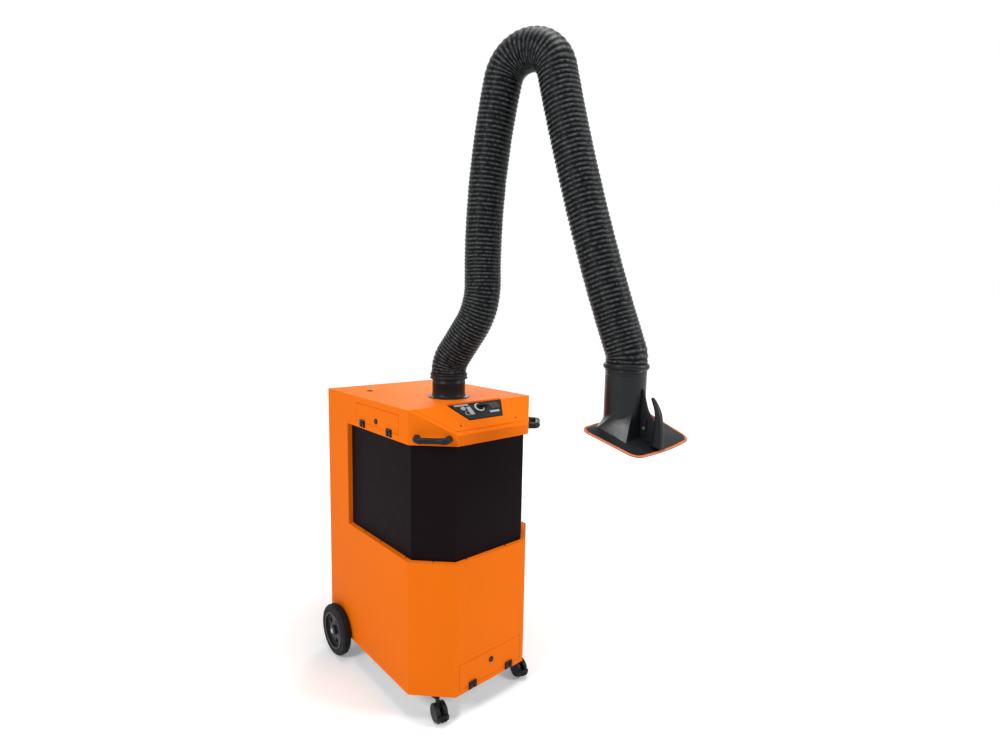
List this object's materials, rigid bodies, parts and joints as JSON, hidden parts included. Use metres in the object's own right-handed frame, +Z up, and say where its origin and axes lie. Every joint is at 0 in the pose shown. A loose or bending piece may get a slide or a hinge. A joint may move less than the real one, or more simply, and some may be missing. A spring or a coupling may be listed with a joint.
{
  "type": "mobile welding fume extractor",
  "caption": "Wheeled filter cabinet that draws welding fume through a self-holding hose arm with a hood, cleans it and blows it out at the back",
  "frame": {"origin": "the middle of the base plate's underside, 0.114 m above the floor that the machine stands on", "axes": "+Z up, -Y to the front with the console and the dust drawer, +X to the right of one who stands behind the machine and looks to its front"},
  "size_m": [0.8723, 1.5261, 2.8508],
  "materials": {
    "orange_paint": "orange powder coat, semi-gloss",
    "anthracite_paint": "anthracite powder coat",
    "bare_steel": "plain sheet steel",
    "motor_alloy": "plain aluminium",
    "black_plastic": "moulded black",
    "grey_plastic": "moulded grey",
    "tyre_rubber": "black rubber",
    "orange_rubber": "orange edge rubber",
    "filter_media": "pleated filter cloth",
    "hose_fabric": "coated black hose, slightly shiny"
  },
  "bodies": {
    "cabinet": {"cabinet_shell": "orange_paint", "floor_plate": "bare_steel", "rear_panel": "orange_paint", "side_panel_left": "anthracite_paint", "side_panel_right": "anthracite_paint", "front_panel": "anthracite_paint", "console_plate": "orange_paint", "control_panel": "black_plastic", "handle_left": "black_plastic", "handle_right": "black_plastic", "mains_gland": "black_plastic", "air_connector": "bare_steel", "arm_flange": "black_plastic", "rear_axle": "bare_steel", "tube_sheet": "bare_steel", "filter_cartridge": "filter_media", "filter_clamp": "bare_steel", "spark_baffle": "bare_steel", "fan_scroll": "bare_steel", "fan_motor": "motor_alloy", "air_tank": "motor_alloy", "pulse_pipe": "motor_alloy", "electronics_box": "grey_plastic"},
    "impeller": {"impeller": "orange_paint"},
    "hatch": {"hatch_door": "orange_paint"},
    "hatch_lock": {"hatch_lock": "bare_steel"},
    "hatch_latch_front": {"hatch_latch_front": "black_plastic"},
    "hatch_latch_rear": {"hatch_latch_rear": "black_plastic"},
    "drawer": {"drawer_front": "orange_paint", "dust_bin": "bare_steel"},
    "drawer_lock": {"drawer_lock": "bare_steel"},
    "drawer_latch_left": {"drawer_latch_left": "black_plastic"},
    "drawer_latch_right": {"drawer_latch_right": "black_plastic"},
    "main_switch": {"main_switch": "black_plastic"},
    "button_start": {"button_start": "grey_plastic"},
    "button_stop": {"button_stop": "grey_plastic"},
    "wheel_left": {"tyre_left": "tyre_rubber", "rim_left": "grey_plastic"},
    "wheel_right": {"tyre_right": "tyre_rubber", "rim_right": "grey_plastic"},
    "caster_left": {"caster_swivel_left": "black_plastic"},
    "caster_right": {"caster_swivel_right": "black_plastic"},
    "caster_wheels_left": {"caster_wheels_left": "black_plastic"},
    "caster_wheels_right": {"caster_wheels_right": "black_plastic"},
    "caster_pedal_left": {"caster_pedal_left": "black_plastic"},
    "caster_pedal_right": {"caster_pedal_right": "black_plastic"},
    "arm_collar": {"swivel_collar": "black_plastic", "hose_shoulder": "hose_fabric"},
    "lower_arm": {"lower_strut": "motor_alloy", "hose_lower": "hose_fabric", "hose_elbow": "hose_fabric"},
    "upper_arm": {"upper_strut": "motor_alloy", "hose_upper": "hose_fabric", "hose_wrist": "hose_fabric"},
    "hood_neck": {"hood_neck": "black_plastic"},
    "hood": {"hood_shell": "black_plastic", "hood_edge_trim": "orange_rubber"},
    "throttle_flap": {"throttle_flap": "black_plastic"}
  },
  "joints": [
    {"name": "fan_turn", "type": "hinge", "parent": "cabinet", "child": "impeller", "pos_m": [0.035, 0.235, 0.32], "axis": [1, 0, 0], "continuous": true},
    {"name": "hatch_open", "type": "hinge", "parent": "cabinet", "child": "hatch", "pos_m": [-0.3335, -0.039, 1.1885], "axis": [0, 1, 0], "range_deg": [0, 85]},
    {"name": "hatch_lock_turn", "type": "hinge", "parent": "hatch", "child": "hatch_lock", "pos_m": [-0.3375, -0.039, 1.135], "axis": [-1, 0, 0], "range_deg": [0, 90]},
    {"name": "hatch_latch_front_lift", "type": "hinge", "parent": "hatch", "child": "hatch_latch_front", "pos_m": [-0.3428, -0.153, 1.119], "axis": [0, 1, 0], "range_deg": [0, 60]},
    {"name": "hatch_latch_rear_lift", "type": "hinge", "parent": "hatch", "child": "hatch_latch_rear", "pos_m": [-0.3428, 0.08, 1.119], "axis": [0, 1, 0], "range_deg": [0, 60]},
    {"name": "drawer_slide", "type": "slide", "parent": "cabinet", "child": "drawer", "axis": [0, -1, 0], "range_m": [0, 0.38]},
    {"name": "drawer_lock_turn", "type": "hinge", "parent": "drawer", "child": "drawer_lock", "pos_m": [0, -0.4405, 0.093], "axis": [0, -1, 0], "range_deg": [0, 90]},
    {"name": "drawer_latch_left_lift", "type": "hinge", "parent": "drawer", "child": "drawer_latch_left", "pos_m": [-0.104, -0.4458, 0.036], "axis": [-1, 0, 0], "range_deg": [0, 60]},
    {"name": "drawer_latch_right_lift", "type": "hinge", "parent": "drawer", "child": "drawer_latch_right", "pos_m": [0.104, -0.4458, 0.036], "axis": [-1, 0, 0], "range_deg": [0, 60]},
    {"name": "main_switch_turn", "type": "hinge", "parent": "cabinet", "child": "main_switch", "pos_m": [0.002, -0.33164, 1.206], "axis": [0, -0.5614, 0.8276], "range_deg": [0, 90]},
    {"name": "button_start_press", "type": "slide", "parent": "cabinet", "child": "button_start", "axis": [0, 0.5614, -0.8276], "range_m": [0, 0.0025], "stiffness_N_per_m": 400},
    {"name": "button_stop_press", "type": "slide", "parent": "cabinet", "child": "button_stop", "axis": [0, 0.5614, -0.8276], "range_m": [0, 0.0025], "stiffness_N_per_m": 400},
    {"name": "wheel_left_roll", "type": "hinge", "parent": "cabinet", "child": "wheel_left", "pos_m": [-0.366, 0.328, 0.011], "axis": [1, 0, 0], "continuous": true},
    {"name": "wheel_right_roll", "type": "hinge", "parent": "cabinet", "child": "wheel_right", "pos_m": [0.366, 0.328, 0.011], "axis": [1, 0, 0], "continuous": true},
    {"name": "caster_left_swivel", "type": "hinge", "parent": "cabinet", "child": "caster_left", "pos_m": [-0.232, -0.352, -0.02], "axis": [0, 0, 1], "continuous": true},
    {"name": "caster_right_swivel", "type": "hinge", "parent": "cabinet", "child": "caster_right", "pos_m": [0.232, -0.352, -0.02], "axis": [0, 0, 1], "continuous": true},
    {"name": "caster_left_roll", "type": "hinge", "parent": "caster_left", "child": "caster_wheels_left", "pos_m": [-0.23738, -0.38253, -0.075], "axis": [0.9848, -0.1736, 0], "continuous": true},
    {"name": "caster_right_roll", "type": "hinge", "parent": "caster_right", "child": "caster_wheels_right", "pos_m": [0.22662, -0.38253, -0.075], "axis": [0.9848, -0.1736, 0], "continuous": true},
    {"name": "caster_left_brake", "type": "hinge", "parent": "caster_left", "child": "caster_pedal_left", "pos_m": [-0.23738, -0.38253, -0.075], "axis": [0.9848, -0.1736, 0], "range_deg": [0, 12]},
    {"name": "caster_right_brake", "type": "hinge", "parent": "caster_right", "child": "caster_pedal_right", "pos_m": [0.22662, -0.38253, -0.075], "axis": [0.9848, -0.1736, 0], "range_deg": [0, 12]},
    {"name": "arm_swivel", "type": "hinge", "parent": "cabinet", "child": "arm_collar", "pos_m": [0, -0.11, 1.32], "axis": [0, 0, 1], "continuous": true},
    {"name": "shoulder", "type": "hinge", "parent": "arm_collar", "child": "lower_arm", "pos_m": [0.0543, -0.2592, 1.63735], "axis": [0.9397, 0.342, 0], "range_deg": [-35, 20], "deforming": ["hose_shoulder"]},
    {"name": "elbow", "type": "hinge", "parent": "lower_arm", "child": "upper_arm", "pos_m": [0.1282, -0.46223, 2.65822], "axis": [-0.9397, -0.342, 0], "range_deg": [-8, 95], "deforming": ["hose_elbow"]},
    {"name": "wrist", "type": "hinge", "parent": "upper_arm", "child": "hood_neck", "pos_m": [0.27683, -0.87058, 1.50024], "axis": [0.9397, 0.342, 0], "range_deg": [-40, 40], "deforming": ["hose_wrist"]},
    {"name": "hood_turn", "type": "hinge", "parent": "hood_neck", "child": "hood", "pos_m": [0.28105, -0.88218, 1.4], "axis": [0, 0, 1], "continuous": true},
    {"name": "throttle", "type": "hinge", "parent": "hood", "child": "throttle_flap", "pos_m": [0.28105, -0.88218, 1.33003], "axis": [1, 0, 0], "range_deg": [0, 90]}
  ]
}
